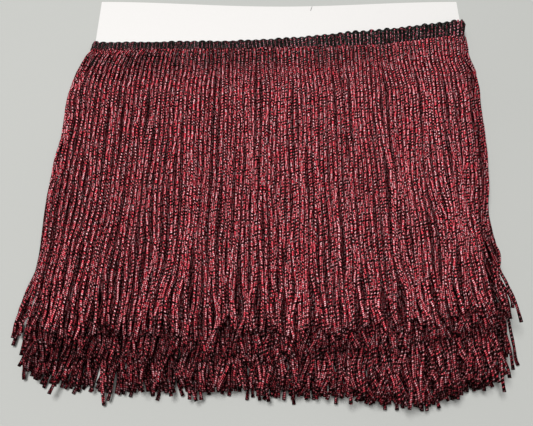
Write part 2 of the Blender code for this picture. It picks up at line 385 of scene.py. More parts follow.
def settle(pile, rows, x, drape, root_z, ease):
    """Finds the valleys near x for a strand to lie in, then its z along them.

    Drape is the radius in which it bends over what it rests on, and ease the length over which
    it comes down from its root.
    """
    choices = x[:, None] + STEPS[None, :]
    cost = pile.needed(rows, choices) + STRAY_COST[None, :]
    total = cost[0] + KEEP_ROOT * STEPS**2
    came = np.zeros((len(rows), len(STEPS)), int)
    for i in range(1, len(rows)):
        ways = total[:, None] + MOVE_COST
        came[i] = np.argmin(ways, axis=0)
        total = ways[came[i], np.arange(len(STEPS))] + cost[i]
    pick = np.zeros(len(rows), int)
    pick[-1] = int(np.argmin(total))
    for i in range(len(rows) - 1, 0, -1):
        pick[i - 1] = came[i, pick[i]]
    moved = STEPS[pick]
    smooth = np.convolve(np.pad(moved, 2, mode="edge"), (0.1, 0.22, 0.36, 0.22, 0.1), mode="valid")
    x = x + smooth
    lowest = pile.needed(rows, x[:, None])[:, 0]
    y = GRID_Y[rows]
    apart = y[:, None] - y[None, :]
    z = np.max(lowest[None, :] - apart**2 / (2 * drape), axis=1)
    z = np.maximum(z, lowest)
    z = root_z + (z - root_z) * smoothstep((y[0] + 1.0 - y) / ease)
    return x, z


class Strand:
    """One strand: its root, its length, how much it wanders and how far aside its tip goes."""

    def __init__(self, group, x, root, length, loose):
        self.group = group
        self.x = x
        self.root = np.array(root)
        self.length = length
        self.loose = loose
        self.points = None
        self.look = (0.0, 0.0, 0.0)
        self.open_y = 100.0
        self.aside = 0.0
        self.inner = group not in ("front_outer", "front_middle", "back_outer")


def lay(pile, strand, field, chance, drape, ease):
    """Works out where a strand lies and adds it to the pile."""
    root_x, root_y, root_z = strand.root
    first = int(math.ceil((Y_TOP - root_y) / Y_STEP))
    rows = np.arange(first, ROWS)
    y = GRID_Y[rows]
    down = root_y - y
    loose = strand.loose
    together = TOGETHER + TOGETHER_LOWER * smoothstep((down - 20.0) / 120.0)
    together = together * field.at(strand.x, y)
    loosened = smoothstep((down - LOOSE_START) / LOOSE_LENGTH) ** LOOSE_POWER
    alone = ALONE * smoothstep(down / 30.0) + loose * loosened
    curl = CURL * loose * smoothstep((down - strand.length + CURL_LENGTH) / CURL_LENGTH)
    x = spread(strand.x, y, root_y, strand.inner)
    x = x + (root_x - strand.x) * np.exp(-down / ROOT_EASE)
    x = x + together * smoothstep(down / 25.0) + alone * wobble(chance, down, 45.0, 110.0)
    x = x + curl * wobble(chance, down, 26.0, 44.0, 2)
    strayed = (down - strand.length + STRAY_LENGTH) / STRAY_LENGTH
    x = x + strand.aside * np.clip(strayed, 0.0, 2.0) ** 1.7
    step = np.hypot(np.diff(np.append(root_x, x)), np.diff(np.append(root_y, y)))
    arc = np.cumsum(step)
    keep = arc < strand.length
    rows, y, x = rows[keep], y[keep], x[keep]
    x, z = settle(pile, rows, x, drape, root_z, ease)
    slope = np.gradient(x, y)
    pile.stamp(rows, x, z, slope)
    points = np.column_stack((x, y, z))
    points = np.vstack((strand.root, points))
    left = strand.length - np.sum(np.linalg.norm(np.diff(points[:, :2], axis=0), axis=1))
    end = points[-1] + (points[-1] - points[-2]) * np.clip(left / Y_STEP, 0.2, 1.2)
    strand.points = np.vstack((points, end))


def turn_strands(after, side, edge_y, shorter=0.0):
    """The strands that hang from a half turn of the heading round the card's side edge."""
    strands = []
    for angle in TURN_ANGLES:
        radians = math.radians(angle)
        x = side * (TURN_X + (BAND_OFFSET - 1.0) * math.sin(radians))
        z = CARD_MIDDLE_Z + BAND_OFFSET * math.cos(radians)
        length = DROP - HEADING_HEIGHT - shorter
        strands.append(Strand(after, x, (x, edge_y + 0.5, z), length, 1.2))
    return strands


def pass_strands(name, chance, loose, group=None, scatter=1.0, shift=0.0, drop=0.0):
    """The strands of a pass, or of one that lies under it.

    Loose is how much they wander, scatter how uneven their lengths are, shift how far aside they
    stand in strands, and drop how far below the pass's roots theirs are.
    """
    front = PASSES[name][0]
    root_z = CARD_MIDDLE_Z + (BAND_OFFSET if front else -BAND_OFFSET)
    strands = []
    for i in range(STRANDS_IN_PASS):
        x = (i - (STRANDS_IN_PASS - 1) / 2 + shift) * STRAND_PITCH
        if name == "front_outer":
            root_z = float(twist_at(x)[1])
        root = (x, float(lower_edge(name, x)) + 0.6 - drop, root_z)
        uneven = 0.8 * math.sin(x / 4.1 + shift * 9) + 0.9 * math.sin(x / 11.0 + shift * 5)
        length = DROP - HEADING_HEIGHT + scatter * (uneven + chance.normal(0.0, 1.0))
        if group or name == "front_inner" or name == "back_inner":
            short, width = LEFT_CORNER if x < 0 else RIGHT_CORNER
            length -= short * max(0.0, 1.0 - (TURN_X - abs(x)) / width) ** 3
            length += float(np.interp(x, TIPS[:, 0], TIPS[:, 1]))
        strands.append(Strand(group or name, x, root, length, loose))
    return strands


def blurred(height, rows, bins):
    """The pile's height, averaged over this many rows and bins to either side."""
    for axis, half in ((0, rows), (1, bins)):
        margins = [(half + 1, half) if i == axis else (0, 0) for i in (0, 1)]
        wide = np.pad(height, margins, mode="edge")
        total = np.cumsum(wide, axis=axis)
        first = np.arange(height.shape[axis])
        height = np.take(total, first + 2 * half + 1, axis) - np.take(total, first, axis)
        height = height / (2 * half + 1)
    return height


def lay_all():
    """Lays every strand down, lowest first, and returns them with the finished pile."""
    chance = np.random.default_rng(11)
    pile = Pile()
    under_field = Waves(chance, 7, 70.0, 26.0, 160.0, 60.0)
    over_field = Waves(chance, 7, 80.0, 24.0, 190.0, 70.0)
    low_field = Waves(chance, 7, 60.0, 20.0, 150.0, 60.0)
    no_field = Waves(chance, 0, 60.0, 20.0, 150.0, 60.0)
    everything = []

    def put(strands, field, drape):
        for stray, near, longer, aside in STRAYS:
            if stray == strands[0].group:
                strand = min(strands, key=lambda strand: abs(strand.x - near))
                strand.length += longer
                strand.aside = aside
                strand.loose = 0.4
        for index in chance.permutation(len(strands)):
            lay(pile, strands[index], field, chance, *drape)
        everything.extend(strands)

    def heading(name):
        pile.block(
            -TURN_X, TURN_X,
            lambda x: lower_edge(name, x),
            lambda x: lower_edge(name, x) + HEADING_HEIGHT,
            CARD_MIDDLE_Z + BAND_OFFSET + BAND_HALF,
        )

    strands = pass_strands("back_outer", chance, 1.3, scatter=1.4, shift=0.5)
    put(strands, under_field, BACK_DRAPE)
    strands = pass_strands("back_inner", chance, 1.4, scatter=1.4)
    put(strands, low_field, BACK_DRAPE)
    strands = pass_strands("front_inner", chance, 1.4, "back_first", 1.4, shift=0.5, drop=1.2)
    put(strands, over_field, BACK_DRAPE)
    strands = pass_strands("front_inner", chance, 1.2, "back_second", 1.4, shift=0.25, drop=1.0)
    put(strands, no_field, BACK_DRAPE)
    pile.block(
        -CARD_HALF, CARD_HALF,
        lambda x: np.full_like(x, CARD_BOTTOM),
        lambda x: np.full_like(x, CARD_TOP_CORNER),
        CARD_TOP_Z,
    )
    strands = pass_strands("front_inner", chance, 1.8, "front_first", 1.4, drop=1.2)
    put(strands, low_field, UNDER_DRAPE)
    heading("front_inner")
    strands = pass_strands("front_inner", chance, 1.8, scatter=1.4, shift=0.5)
    strands += turn_strands("front_inner", 1.0, -40.0, shorter=22.0)
    put(strands, under_field, UNDER_DRAPE)
    heading("front_middle")
    strands = pass_strands("front_middle", chance, 1.5, scatter=1.8, shift=0.5)
    strands += turn_strands("front_middle", -1.0, -20.0, shorter=7.0)
    strands += turn_strands("front_middle", 1.0, -4.5, shorter=4.0)
    put(strands, over_field, UNDER_DRAPE)
    strands = pass_strands("front_outer", chance, 0.7, scatter=1.8)
    strands += turn_strands("front_outer", -1.0, -10.0)
    strands += turn_strands("front_outer", 1.0, 4.5)
    put(strands, over_field, OUTER_DRAPE)
    return everything, pile


def fine_curve(points, spacing):
    """A smooth curve through the points, with points about this far apart."""
    lengths = np.linalg.norm(np.diff(points, axis=0), axis=1)
    along = np.append(0.0, np.cumsum(lengths))
    count = max(int(round(along[-1] / spacing)), 4) + 1
    wanted = np.linspace(0.0, along[-1], count)
    slopes = np.gradient(points, along, axis=0)
    cell = np.clip(np.searchsorted(along, wanted, side="right") - 1, 0, len(along) - 2)
    span = (along[cell + 1] - along[cell])[:, None]
    t = ((wanted - along[cell]) / (along[cell + 1] - along[cell]))[:, None]
    a, b = points[cell], points[cell + 1]
    p, q = slopes[cell] * span, slopes[cell + 1] * span
    curve = (2 * t**3 - 3 * t**2 + 1) * a + (t**3 - 2 * t**2 + t) * p
    curve += (3 * t**2 - 2 * t**3) * b + (t**3 - t**2) * q
    return curve, wanted


def tube(points, up, sides, wide, thick, swell=None):
    """The rings of a tube round a path, as (rings, sides, 3)."""
    tangent = np.gradient(points, axis=0)
    tangent /= np.linalg.norm(tangent, axis=1)[:, None]
    across = np.cross(tangent, up)
    across /= np.linalg.norm(across, axis=1)[:, None]
    over = np.cross(across, tangent)
    angle = 2 * math.pi * np.arange(sides) / sides
    wide = np.broadcast_to(wide, len(points))
    ring = across[:, None, :] * (wide[:, None] * np.cos(angle))[:, :, None]
    ring = ring + over[:, None, :] * (np.sin(angle) * thick)[None, :, None]
    if swell is not None:
        ring = ring * swell[:, None, None]
    return points[:, None, :] + ring


class Soup:
    """Gathers tubes into one mesh.

    Each tube gets its own place, a column and a row, on the second UV map, where no two overlap.
    """

    def __init__(self):
        self.verts = []
        self.quads = []
        self.caps = []
        self.uv = []
        self.cap_uv = []
        self.bake = []
        self.cap_bake = []
        self.look = []
        self.count = 0

    def add(self, rings, along, look, column, columns, row=0, rows=1):
        """Adds a tube with both its ends closed."""
        number, sides, _ = rings.shape
        index = self.count + np.arange(number * sides).reshape(number, sides)
        after = np.roll(index, -1, axis=1)
        quads = np.stack((index[:-1], after[:-1], after[1:], index[1:]), axis=-1)
        self.quads.append(quads.reshape(-1, 4))
        u = np.arange(sides + 1) / sides
        v = along
        shape = (number - 1, sides, 4)
        corner_u = np.stack((u[:-1], u[1:], u[1:], u[:-1]), -1)[None]
        corner_u = np.broadcast_to(corner_u, shape)
        corner_v = np.stack((v[:-1], v[:-1], v[1:], v[1:]), -1)[:, None]
        corner_v = np.broadcast_to(corner_v, shape)
        self.uv.append(np.stack((corner_u, corner_v), -1).reshape(-1, 2))
        bake_u = (column + 0.08 + 0.84 * corner_u) / columns
        bake_v = (row + 0.01 + 0.98 * (corner_v - v[0]) / (v[-1] - v[0])) / rows
        self.bake.append(np.stack((bake_u, bake_v), -1).reshape(-1, 2))
        for ring, at, bake_at in ((index[0][::-1], v[0], 0.006), (index[-1], v[-1], 0.994)):
            self.caps.append(ring)
            angle = 2 * math.pi * np.arange(sides) / sides
            self.cap_uv.append(np.stack((np.arange(sides) / sides, np.full(sides, at)), -1))
            flat_u = (column + 0.5 + 0.3 * np.cos(angle)) / columns
            flat_v = (row + bake_at + 0.003 * np.sin(angle)) / rows
            self.cap_bake.append(np.stack((flat_u, flat_v), -1))
        self.verts.append(rings.reshape(-1, 3))
        self.look.append(look.reshape(number, 1, 4).repeat(sides, axis=1).reshape(-1, 4))
        self.count += number * sides

    def make(self, name, material):
        """Makes the mesh object, which rides on the part's one body."""
        verts = (np.vstack(self.verts) + SHIFT) * 0.001
        quads = np.vstack(self.quads)
        sides = len(self.caps[0])
        caps = np.vstack(self.caps)
        mesh = bpy.data.meshes.new(name)
        mesh.vertices.add(len(verts))
        mesh.vertices.foreach_set("co", verts.astype(np.float32).ravel())
        loops = np.concatenate((quads.ravel(), caps.ravel()))
        mesh.loops.add(len(loops))
        mesh.loops.foreach_set("vertex_index", loops.astype(np.int32))
        starts = np.arange(len(quads)) * 4
        cap_starts = len(quads) * 4 + np.arange(len(caps)) * sides
        mesh.polygons.add(len(quads) + len(caps))
        every_start = np.concatenate((starts, cap_starts))
        mesh.polygons.foreach_set("loop_start", every_start.astype(np.int32))
        mesh.update(calc_edges=True)
        mesh.validate()
        maps = (("strand", self.uv + self.cap_uv), ("OFBake", self.bake + self.cap_bake))
        for label, parts in maps:
            layer = mesh.uv_layers.new(name=label)
            layer.data.foreach_set("uv", np.vstack(parts).astype(np.float32).ravel())
        colours = mesh.attributes.new("look", "FLOAT_COLOR", "POINT")
        colours.data.foreach_set("color", np.vstack(self.look).astype(np.float32).ravel())
        smooth = np.ones(len(mesh.polygons), bool)
        smooth[len(quads):] = False
        mesh.polygons.foreach_set("use_smooth", smooth)
        mesh.materials.append(material)
        thing = bpy.data.objects.new(name, mesh)
        bpy.context.scene.collection.objects.link(thing)
        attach(thing, "root")
        return thing


def strand_tube(strand, chance, sides, spacing, level):
    """The rings of a strand and how each of them looks.

    A ring's look is how dark it is, which way the stitches slant, where they start and how far
    off the tip is. How dark it is holds the strand's random tone and painted shade: painted shade
    where another pass lies over it, where it lies below the height of the pile round it, near its
    root under the heading, in the turns under the outer one and on the right flank of the fringe.
    It is also darker towards the bottom, near its tip and towards the lower left.
    """
    points = strand.points.copy()
    z = points[:, 2]
    z[1:-1] = 0.25 * z[:-2] + 0.5 * z[1:-1] + 0.25 * z[2:]
    curve, along = fine_curve(points, spacing)
    swell = 1.0 + 0.04 * wobble(chance, along, 5.0, 30.0)
    to_tip = along[-1] - along
    swell *= 1.0 + 0.16 * np.exp(-to_tip / 1.4)
    curve[:, 2] = np.maximum(curve[:, 2], STRAND_HALF_THICK * swell)
    down = strand.root[1] - curve[:, 1]
    held = OUTER_ROOT_LENGTH if strand.group == "front_outer" else INNER_ROOT_LENGTH
    wide = STRAND_HALF_WIDE * (1.0 + ROOT_WIDENING * (1.0 - smoothstep(down / held)))
    rings = tube(curve, np.array((0.0, 0.0, 1.0)), sides, wide, STRAND_HALF_THICK, swell)
    tone, slant, phase = strand.look
    # Painted shade on strands that lie under another pass, fading out a little below that pass's tips
    covered_shade = smoothstep((curve[:, 1] - strand.open_y + 9.0) / 12.0)
    # Painted shade where the strand lies below the smoothed height of the pile round it
    row = np.clip(np.rint((Y_TOP - curve[:, 1]) / Y_STEP).astype(int), 0, ROWS - 1)
    column = np.clip(np.rint((curve[:, 0] - X_MIN) / BIN).astype(int), 0, BINS - 1)
    sunk_shade = smoothstep((level[row, column] - curve[:, 2] - STRAND_HALF_THICK + 0.15) / 1.1)
    # Painted shade near the root, where the strands come out from under the heading, less towards the
    # right
    shaded = (0.30 + 0.60 * tone) * (1.0 - 0.6 * smoothstep((strand.x - 30.0) / 70.0))
    shaded = shaded * (1.0 - smoothstep((down - 8.0) / 24.0))
    lower = smoothstep((-40.0 - curve[:, 1]) / 130.0)
    dark = tone * (0.25 + 0.15 * lower) + 0.06 * lower
    dark = dark + TIP_DARK * (1.0 - smoothstep(to_tip / TIP_DARK_LENGTH))
    # Painted shade on the strands at the right flank of the fringe
    dark = dark + RIGHT_FLANK_SHADE * smoothstep((strand.x - RIGHT_FLANK_SHADE_X) / 9.0)
    dark = dark + LEFT_DARK * smoothstep((LEFT_DARK_X - strand.x) / 15.0) * lower
    # Painted shade on every turn that lies under the outer one
    if strand.group != "front_outer":
        dark = dark + UNDER_PAINTED_SHADE
    look = np.empty((len(along), 4))
    look[:, 0] = np.clip(np.maximum.reduce((dark, sunk_shade, shaded, covered_shade)), 0.0, 1.0)
    look[:, 1] = slant
    look[:, 2] = phase
    look[:, 3] = np.clip(to_tip / 2.0, 0.0, 1.0)
    return rings, along, look


def new_material(name):
    """A material, its node tree and its shader."""
    material = bpy.data.materials.new(name)
    material.use_nodes = True
    tree = material.node_tree
    return material, tree, tree.nodes["Principled BSDF"]


def node(tree, kind, **settings):
    """A new node with these settings."""
    made = tree.nodes.new(kind)
    for key, value in settings.items():
        setattr(made, key, value)
    return made


def maths(tree, operation, first, second=0.0):
    """The result of a sum on numbers or sockets."""
    made = node(tree, "ShaderNodeMath", operation=operation)
    for socket, value in zip(made.inputs, (first, second)):
        if isinstance(value, (int, float)):
            socket.default_value = value
        else:
            tree.links.new(value, socket)
    return made.outputs[0]


def mix(tree, share, first, second):
    """A blend of two colours."""
    made = node(tree, "ShaderNodeMix", data_type="RGBA")
    sockets = (made.inputs[0], made.inputs[6], made.inputs[7])
    for socket, value in zip(sockets, (share, first, second)):
        if isinstance(value, (int, float)):
            socket.default_value = value
        elif isinstance(value, tuple):
            socket.default_value = value + (1.0,)
        else:
            tree.links.new(value, socket)
    return made.outputs[2]


def remap(tree, value, low, high, to_low=0.0, to_high=1.0):
    """A soft step of the value between low and high."""
    made = node(tree, "ShaderNodeMapRange", interpolation_type="SMOOTHSTEP")
    tree.links.new(value, made.inputs[0])
    for socket, number in zip(made.inputs[1:5], (low, high, to_low, to_high)):
        socket.default_value = number
    return made.outputs[0]


def noise(tree, vector, scale, detail=2.0):
    """Cloudy noise at the vector."""
    made = node(tree, "ShaderNodeTexNoise")
    tree.links.new(vector, made.inputs["Vector"])
    made.inputs["Scale"].default_value = scale
    made.inputs["Detail"].default_value = detail
    return made.outputs[0]


def white_noise(tree, first, second, third):
    """A random number and colour for each three values."""
    place = node(tree, "ShaderNodeCombineXYZ")
    for socket, value in zip(place.inputs, (first, second, third)):
        tree.links.new(value, socket)
    made = node(tree, "ShaderNodeTexWhiteNoise", noise_dimensions="3D")
    tree.links.new(place.outputs[0], made.inputs[0])
    return made


def chainette_material(name, dark_share, red, pink_highlight, dark, grey_highlight, stitch, wales, side_painted_shade):
    """Marled chainette: small slanted stitches of two yarns, drawn round and along each strand.

    Wales are the columns of stitches round it, stitch is the length of one, dark_share says how
    many are of the dark yarn, the second and fourth colours are painted highlights on the tops of
    the red and the dark stitches, and the last argument is how much painted shade darkens the
    strand's sides. The stitches' edges get painted shade too.
    """
    material, tree, shader = new_material(name)
    uv = node(tree, "ShaderNodeUVMap", uv_map="strand")
    split = node(tree, "ShaderNodeSeparateXYZ")
    tree.links.new(uv.outputs[0], split.inputs[0])
    u, v = split.outputs[0], split.outputs[1]
    attribute = node(tree, "ShaderNodeAttribute", attribute_name="look")
    parts = node(tree, "ShaderNodeSeparateColor")
    tree.links.new(attribute.outputs[0], parts.inputs[0])
    tone, slant, phase = parts.outputs[0], parts.outputs[1], parts.outputs[2]
    tip = attribute.outputs[3]
    own = maths(tree, "MULTIPLY", phase, 97.0)
    place = node(tree, "ShaderNodeCombineXYZ")
    tree.links.new(own, place.inputs[0])
    tree.links.new(v, place.inputs[1])
    tree.links.new(maths(tree, "MULTIPLY", u, 4.0), place.inputs[2])
    drift = noise(tree, place.outputs[0], 0.09)
    patch = noise(tree, place.outputs[0], 0.05)
    turned = maths(tree, "MULTIPLY", u, wales)
    turned = maths(tree, "ADD", turned, maths(tree, "MULTIPLY", drift, 4.0))
    wale = maths(tree, "FLOOR", turned)
    across = maths(tree, "FRACT", turned)
    lean = maths(tree, "SUBTRACT", maths(tree, "MULTIPLY", slant, 1.2), 0.6)
    beat = maths(tree, "MULTIPLY", v, 1.0 / stitch)
    beat = maths(tree, "ADD", beat, maths(tree, "MULTIPLY", wale, 0.5))
    beat = maths(tree, "ADD", beat, maths(tree, "MULTIPLY", across, lean))
    beat = maths(tree, "ADD", beat, maths(tree, "MULTIPLY", phase, 7.0))
    number = maths(tree, "FLOOR", beat)
    within = maths(tree, "FRACT", beat)
    round_across = maths(tree, "SINE", maths(tree, "MULTIPLY", across, math.pi))
    round_within = maths(tree, "SINE", maths(tree, "MULTIPLY", within, math.pi))
    bulge = maths(tree, "MULTIPLY", round_across, round_within)
    chance = white_noise(tree, wale, number, own)
    random_parts = node(tree, "ShaderNodeSeparateColor")
    tree.links.new(chance.outputs[1], random_parts.inputs[0])
    first, second = random_parts.outputs[0], random_parts.outputs[1]
    turn = maths(tree, "MULTIPLY", maths(tree, "FRACT", maths(tree, "MULTIPLY", number, 0.5)), 2.0)
    mixed = maths(tree, "MULTIPLY", turn, 0.45)
    mixed = maths(tree, "ADD", mixed, maths(tree, "MULTIPLY", first, 0.55))
    uneven = maths(tree, "MULTIPLY", maths(tree, "SUBTRACT", patch, 0.5), 0.4)
    shifted = maths(tree, "ADD", mixed, uneven)
    is_red = remap(tree, shifted, dark_share - 0.03, dark_share + 0.03)
    # Painted highlights: the tops of the stitches are mixed towards a pale pink on the red yarn and a
    # grey on the dark yarn
    crown = remap(tree, bulge, 0.35, 0.90)
    painted_glint = maths(tree, "MULTIPLY", crown, maths(tree, "POWER", second, 1.5))
    red_and_highlight = mix(tree, painted_glint, red, pink_highlight)
    black = mix(tree, painted_glint, dark, grey_highlight)
    colour = mix(tree, is_red, black, red_and_highlight)
    # Painted shade at the edges of each stitch, between it and the next
    edge = remap(tree, bulge, 0.10, 0.62)
    colour = mix(tree, edge, dark, colour)
    # Painted shade on the strand's sides, where it meets its neighbours
    top = maths(tree, "SINE", maths(tree, "MULTIPLY", u, 2 * math.pi))
    side = remap(tree, top, -0.05, 0.75, side_painted_shade, 0.0)
    # The look's first channel holds the strand's random tone together with painted shade; both darken
    # the colour here
    tone_and_shade = maths(tree, "MAXIMUM", maths(tree, "MULTIPLY", tone, 0.82), side)
    toned_and_shaded = mix(tree, tone_and_shade, colour, dark)
    cut = maths(tree, "MULTIPLY", maths(tree, "SUBTRACT", 1.0, tip), 0.7)
    ends = mix(tree, cut, toned_and_shaded, dark)
    tree.links.new(ends, shader.inputs["Base Color"])
    shader.inputs["Roughness"].default_value = 0.55
    shader.inputs["Specular IOR Level"].default_value = 0.01
    bump = node(tree, "ShaderNodeBump")
    bump.inputs["Strength"].default_value = 1.0
    bump.inputs["Distance"].default_value = 0.0003
    tree.links.new(bulge, bump.inputs["Height"])
    tree.links.new(bump.outputs[0], shader.inputs["Normal"])
    return material


def dark_yarn_material(name):
    """The plain black ground of the heading."""
    material, tree, shader = new_material(name)
    place = node(tree, "ShaderNodeTexCoord")
    fine = noise(tree, place.outputs["Object"], 1500.0, 2.0)
    colour = mix(tree, fine, (0.006, 0.006, 0.006), (0.022, 0.022, 0.020))
    tree.links.new(colour, shader.inputs["Base Color"])
    shader.inputs["Roughness"].default_value = 0.8
    return material


def band_path():
    """The heading's way round the card, from the inner turn's cut end to the outer one's.

    It gives the distance along it, its lower edge, the way up it and the way it faces.
    """
    edges, ups, faces = [], [], []

    def add(x, y, reach, turned, tilt):
        outward = np.array((math.sin(turned), 0.0, math.cos(turned)))
        up = outward * math.sin(tilt) + np.array((0.0, math.cos(tilt), 0.0))
        face = outward * math.cos(tilt) - np.array((0.0, math.sin(tilt), 0.0))
        edges.append(np.array((x, y, CARD_MIDDLE_Z)) + outward * reach)
        ups.append(up)
        faces.append(face)

    def state(name, x):
        if name == "front_outer":
            y, z, tilt = twist_at(x)
            return float(y), float(z) - CARD_MIDDLE_Z, math.radians(float(tilt))
        return float(lower_edge(name, x)), BAND_OFFSET, 0.0

    names = list(PASSES)
    for name, after in zip(names, names[1:] + [None]):
        front = PASSES[name][0]
        start, end = (-TURN_X, TURN_X) if front else (TURN_X, -TURN_X)
        if after is None:
            end = TURN_X - END_INSET
        flat = 0.0 if front else math.pi
        for x in np.linspace(start, end, PASS_POINTS):
            y, reach, tilt = state(name, x)
            add(x, y, reach, flat, tilt)
        side = math.copysign(1.0, end)
        y, reach, tilt = state(name, end)
        coming_to = (y, BAND_OFFSET, 0.0) if after is None else state(after, end)
        after_y, after_reach, after_tilt = coming_to
        for step in range(1, TURN_STEPS):
            share = step / TURN_STEPS
            soft = share * share * (3 - 2 * share)
            leaving = max(0.0, 1.0 - share / 0.35)
            coming = max(0.0, 1.0 - (1.0 - share) / 0.35)
            turned = flat + side * math.pi * share * (1 if front else -1)
            stand_off = (reach - BAND_OFFSET) * leaving**2
            add(
                end,
                y + (after_y - y) * soft,
                BAND_OFFSET + stand_off + (after_reach - BAND_OFFSET) * coming**2,
                turned,
                tilt * leaving + after_tilt * coming,
            )
    for x in np.linspace(end, end - TAIL_LENGTH, 7):
        add(x, float(y), BAND_OFFSET, math.pi, 0.0)
    edges, ups, faces = np.array(edges), np.array(ups), np.array(faces)
    middle = edges + ups * HEADING_HEIGHT / 2
    along = np.append(0.0, np.cumsum(np.linalg.norm(np.diff(middle, axis=0), axis=1)))
    return along, edges, ups, faces


ALONG, EDGES, UPS, FACES = band_path()


def on_band(s, height, lift):
    """Points at distances s along the heading, up from its lower edge and out from its middle."""
    s, height, lift = np.broadcast_arrays(s, height, lift)

    def at(table):
        return np.stack([np.interp(s, ALONG, table[:, i]) for i in range(3)], axis=-1)

    up, face = at(UPS), at(FACES)
    up /= np.linalg.norm(up, axis=-1, keepdims=True)
    face /= np.linalg.norm(face, axis=-1, keepdims=True)
    return at(EDGES) + up * height[..., None] + face * lift[..., None], face


def plain_look(count, values=(0.0, 0.0, 0.0, 1.0)):
    """The same look for this many rings."""
    return np.tile(np.array(values), (count, 1))


def heading_band(material):
    """The thin woven ground of the heading, one closed strip."""
    soup = Soup()
    corners = []
    thick = GROUND_HALF_THICK
    for height, lift in ((GROUND_TOP, thick), (0.0, thick), (0.0, -thick), (GROUND_TOP, -thick)):
        corners.append(on_band(ALONG, height, lift)[0])
    rings = np.stack(corners, axis=1)
    soup.add(rings, ALONG, plain_look(len(ALONG)), 0, 1)
    return soup.make("heading_ground", material)


def heading_loops(material, chance):
    """The chainette loops that make the ribs and scallops of the heading."""
    soup = Soup()
    total = ALONG[-1]
    count = int(total / (2 * STRAND_PITCH))
    columns = 64
    rows = -(-count // columns)
    radius = STRAND_PITCH / 2
    for i in range(count):
        middle = (i + 0.5) * 2 * STRAND_PITCH
        leg = np.linspace(0.0, RIB_LEG, 9)
        arc = np.linspace(0, math.pi, 9)[1:-1]
        s = np.concatenate((np.full(9, -radius), -radius * np.cos(arc), np.full(9, radius)))
        height = np.concatenate((leg, leg[-1] + RIB_ARCH * np.sin(arc), leg[::-1]))
        height = height * (1.0 + chance.normal(0.0, 0.035))
        s = middle + s - HEADING_LEAN * (height - 5.0) + chance.normal(0, 0.12)
        s = np.clip(s, 0.3, total - 0.3)
        points, faces = on_band(s, height, chance.normal(0, 0.06))
        along = np.append(0.0, np.cumsum(np.linalg.norm(np.diff(points, axis=0), axis=1)))
        rings = tube(points, faces, 7, RIB_HALF_WIDE, RIB_HALF_THICK)
        look = plain_look(len(s), (chance.uniform(), chance.integers(0, 2), chance.uniform(), 1.0))
        soup.add(rings, along, look, i % columns, columns, i // columns, rows)
    return soup.make("heading_loops", material)


def heading_lines(material, chance):
    """The thin marled threads between the ribs, which make a small tuft at the right end."""
    soup = Soup()
    total = ALONG[-1]
    count = int(total / STRAND_PITCH) - 1
    columns = 100
    rows = -(-count // columns)
    for i in range(1, count):
        foot = on_band(i * STRAND_PITCH, 0.0, 0.0)[0]
        tuft = 0.0
        if foot[2] > TUFT_MIN_Z:
            tuft = float(smoothstep((foot[0] - TUFT_X) / TUFT_LENGTH))
        top = HEADING_HEIGHT + 0.2 * tuft - (1.2 if i % 2 else 2.4) * (1.0 - tuft)
        height = np.linspace(-0.2, top, 8)
        sway = 0.1 * np.sin(height * 2.2 + chance.uniform(0, 6))
        s = i * STRAND_PITCH - HEADING_LEAN * (height - 5.0) + sway
        lift = THREAD_LIFT + 0.12 * np.sin(height * 2.6 + chance.uniform(0, 6))
        points, faces = on_band(s, height, lift)
        along = np.append(0.0, np.cumsum(np.linalg.norm(np.diff(points, axis=0), axis=1)))
        wide = THREAD_HALF_WIDE + 0.25 * tuft
        thick = THREAD_HALF_THICK + 0.20 * tuft
        rings = tube(points, faces, 5, wide, thick)
        brighter = smoothstep((points[0, 0] + 70.0) / 130.0)
        tone = (0.3 + 0.5 * chance.uniform()) * (1.0 - brighter)
        look = plain_look(len(s), (tone, chance.integers(0, 2), chance.uniform(), 1.0))
        soup.add(rings, along, look, i % columns, columns, i // columns, rows)
    return soup.make("heading_threads", material)


def card_piece(material):
    """The white card, with round lower corners, a hollow top edge and a small slit in it."""
    half, radius = CARD_HALF, CARD_CORNER
    outline = []
    for side, first in ((-1.0, 180.0), (1.0, 270.0)):
        for step in range(CARD_CORNER_STEPS + 1):
            angle = math.radians(first + 90.0 * step / CARD_CORNER_STEPS)
            x = side * (half - radius) + radius * math.cos(angle)
            outline.append((x, CARD_BOTTOM + radius + radius * math.sin(angle)))
    slit = [SLIT_X - SLIT_HALF_WIDTH, SLIT_X + SLIT_HALF_WIDTH]
    across = [half - 2 * half * i / CARD_TOP_STEPS for i in range(CARD_TOP_STEPS + 1)]
    across = [x for x in across if abs(x - SLIT_X) > SLIT_HALF_WIDTH]
    for x in sorted(across + slit, reverse=True):
        y = CARD_TOP_CORNER - CARD_TOP_DIP * math.cos(math.pi * x / (2 * half)) ** 2
        if x == slit[0]:
            outline.append((x - SLIT_SLANT, y - SLIT_DEPTH))
        outline.append((x, y))
        if x == slit[1]:
            outline.append((x - SLIT_SLANT, y - SLIT_DEPTH))
    outline = (np.array(outline) + SHIFT[:2]) * 0.001
    count = len(outline)
    verts, faces = [], []
    for z in (CARD_MIDDLE_Z + CARD_HALF_THICK, CARD_MIDDLE_Z - CARD_HALF_THICK):
        verts += [(x, y, z * 0.001) for x, y in outline]
    faces.append(tuple(range(count)))
    faces.append(tuple(range(2 * count - 1, count - 1, -1)))
    for i in range(count):
        j = (i + 1) % count
        faces.append((i, i + count, j + count, j))
    mesh = bpy.data.meshes.new("card_board")
    mesh.from_pydata(verts, [], faces)
    mesh.validate()
    mesh.materials.append(material)
    thing = bpy.data.objects.new("card_board", mesh)
    bpy.context.scene.collection.objects.link(thing)
    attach(thing, "root")
    return thing


